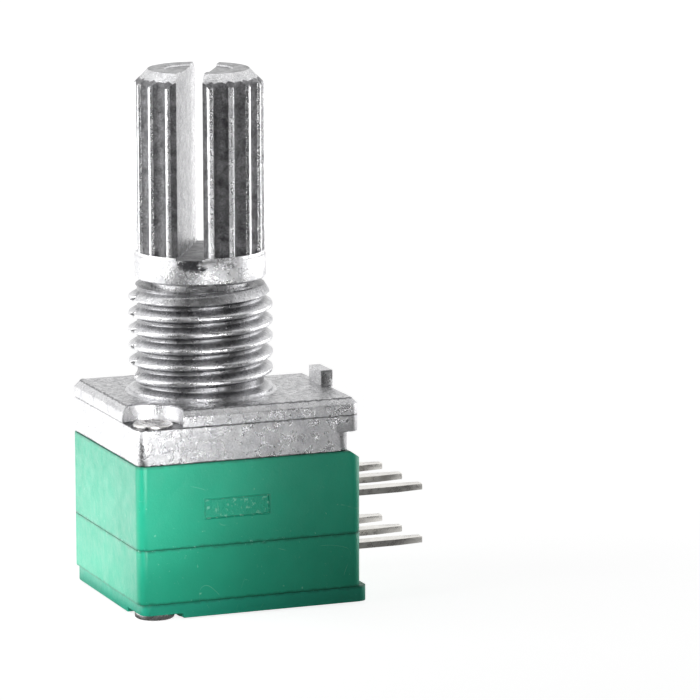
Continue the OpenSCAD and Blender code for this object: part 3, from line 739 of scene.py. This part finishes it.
ROOM_WHITE = 1.0
ROOM_DIM = 0.10
ROOM_FROM = 0.12  # share of the way toward the camera at which the room starts to dim
ROOM_TO = 0.62
SOFT_LIGHT = 0.06
FLOOR_HALF = 1.5
FLOOR_COLOR = (0.80, 0.80, 0.80, 1)
FLOOR_GLOW = (1.75, 2.15)  # near the part and far from it
FLOOR_FADE = (0.03, 0.15)  # distances between which the glow rises
FLOOR_WHITE_SHARE = 0.5
FLOOR_FROM = -0.004  # shiny surfaces see the floor dim up to this far past the shaft's axis
FLOOR_TO = 0.010  # and white from this far on, as the camera in the script looks


class Stage(Tree):
    """An emptied node tree of the floor or of the world."""

    def __init__(self, owner):
        owner.use_nodes = True
        super().__init__(owner.node_tree)
        self.tree.nodes.clear()
        self.path = self.add("ShaderNodeLightPath").outputs

    def fade(self, source, low, high, to_low, to_high):
        return self.remap(source, low, high, to_low, to_high, "SMOOTHSTEP")

    def glow(self, kind, strength):
        """White emission or background, of a fixed or linked strength."""
        node = self.add(kind)
        node.inputs["Color"].default_value = (1, 1, 1, 1)
        self.feed(strength, node.inputs["Strength"])
        return node.outputs[0]

    def mix(self, factor, a, b):
        """Shader a where the factor is 0 and shader b where it is 1."""
        node = self.add("ShaderNodeMixShader")
        for value, socket in zip((factor, a, b), node.inputs):
            self.link(value, socket)
        return node.outputs[0]

    def mirrored_rays(self):
        """1 for rays off shiny surfaces and through clear ones."""
        return self.calc("MAXIMUM", self.path["Is Glossy Ray"], self.path["Is Transmission Ray"])


def floor_material():
    """Diffuse floor that fades into the white background, and mirrors as the room does."""
    material = bpy.data.materials.new("floor")
    n = Stage(material)
    diffuse = n.add("ShaderNodeBsdfDiffuse")
    diffuse.inputs["Color"].default_value = FLOOR_COLOR
    position = n.add("ShaderNodeNewGeometry").outputs["Position"]
    strength = n.fade(n.length(position), *FLOOR_FADE, *FLOOR_GLOW)
    white_share = n.times(n.path["Is Camera Ray"], FLOOR_WHITE_SHARE)
    seen = n.mix(white_share, diffuse.outputs[0], n.glow("ShaderNodeEmission", strength))
    away = n.dot(position, -camera_axes()[2])
    room = n.fade(away, FLOOR_FROM, FLOOR_TO, ROOM_DIM, ROOM_WHITE)
    mirrored = n.glow("ShaderNodeEmission", room)
    out = n.add("ShaderNodeOutputMaterial")
    n.link(n.mix(n.mirrored_rays(), seen, mirrored), out.inputs[0])
    return material


def add_floor():
    """Pale floor under the part, which keeps a soft shadow."""
    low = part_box("rear_cover")[0][2]
    sides = ((-1, -1), (1, -1), (1, 1), (-1, 1))
    corners = [(x * FLOOR_HALF, y * FLOOR_HALF, low) for x, y in sides]
    data = bpy.data.meshes.new("floor")
    data.from_pydata(corners, [], [(0, 1, 2, 3)])
    data.materials.append(floor_material())
    floor = bpy.data.objects.new("floor", data)
    bpy.context.scene.collection.objects.link(floor)


def add_world():
    """White behind the part for the camera and for shiny surfaces, dimmer in front, and soft light."""
    world = bpy.data.worlds.new("studio")
    bpy.context.scene.world = world
    n = Stage(world)
    toward = n.dot(n.add("ShaderNodeTexCoord").outputs["Generated"], camera_axes()[2])
    room = n.glow("ShaderNodeBackground", n.fade(toward, ROOM_FROM, ROOM_TO, ROOM_WHITE, ROOM_DIM))
    soft = n.glow("ShaderNodeBackground", SOFT_LIGHT)
    shown = n.calc("MAXIMUM", n.path["Is Camera Ray"], n.mirrored_rays())
    out = n.add("ShaderNodeOutputWorld")
    n.link(n.mix(shown, soft, room), out.inputs[0])


def add_lamp(name, place, aim, size, brightness, spread=180):
    """Rectangular lamp; place, aim and size in millimetres, brightness against white."""
    data = bpy.data.lights.new(name, "AREA")
    data.shape = "RECTANGLE"
    data.size = size[0] * MM
    data.size_y = size[1] * MM
    data.energy = brightness * math.pi * data.size * data.size_y
    data.spread = math.radians(spread)
    lamp = bpy.data.objects.new(name, data)
    lamp.location = Vector(place) * MM
    lamp.rotation_euler = (Vector(aim) - Vector(place)).to_track_quat("-Z", "Y").to_euler()
    lamp.visible_camera = False
    bpy.context.scene.collection.objects.link(lamp)


add_floor()
add_world()
add_lamp("front_card", (0, -54, -9.6), (0, -54, 0), (24, 32), 10.5)
add_lamp("back_card", (-20.6, 21, -9.6), (-20.6, 21, 0), (30.8, 50), 1.25)
add_lamp("key", (-12, -26, 8), (-6, -4.75, -4), (10, 14), 0.65, 36)
add_lamp("near", (-6, -20, 0), (-6, 0, -4), (8, 8), 0.8, 46)
add_lamp("left", (-90, 10, 20), (0, 0, 0), (80, 60), 3.7)
add_lamp("rim", (-20, 42, 4), (-4.75, 0, -5), (40, 18), 0.4)
add_lamp("right", (76, 2, 6), (0, 0, 4), (50, 32), 3.4)
add_lamp("top", (-10, 30, 90), (0, 0, 0), (80, 80), 0.5)
bpy.context.scene.view_settings.view_transform = "Standard"
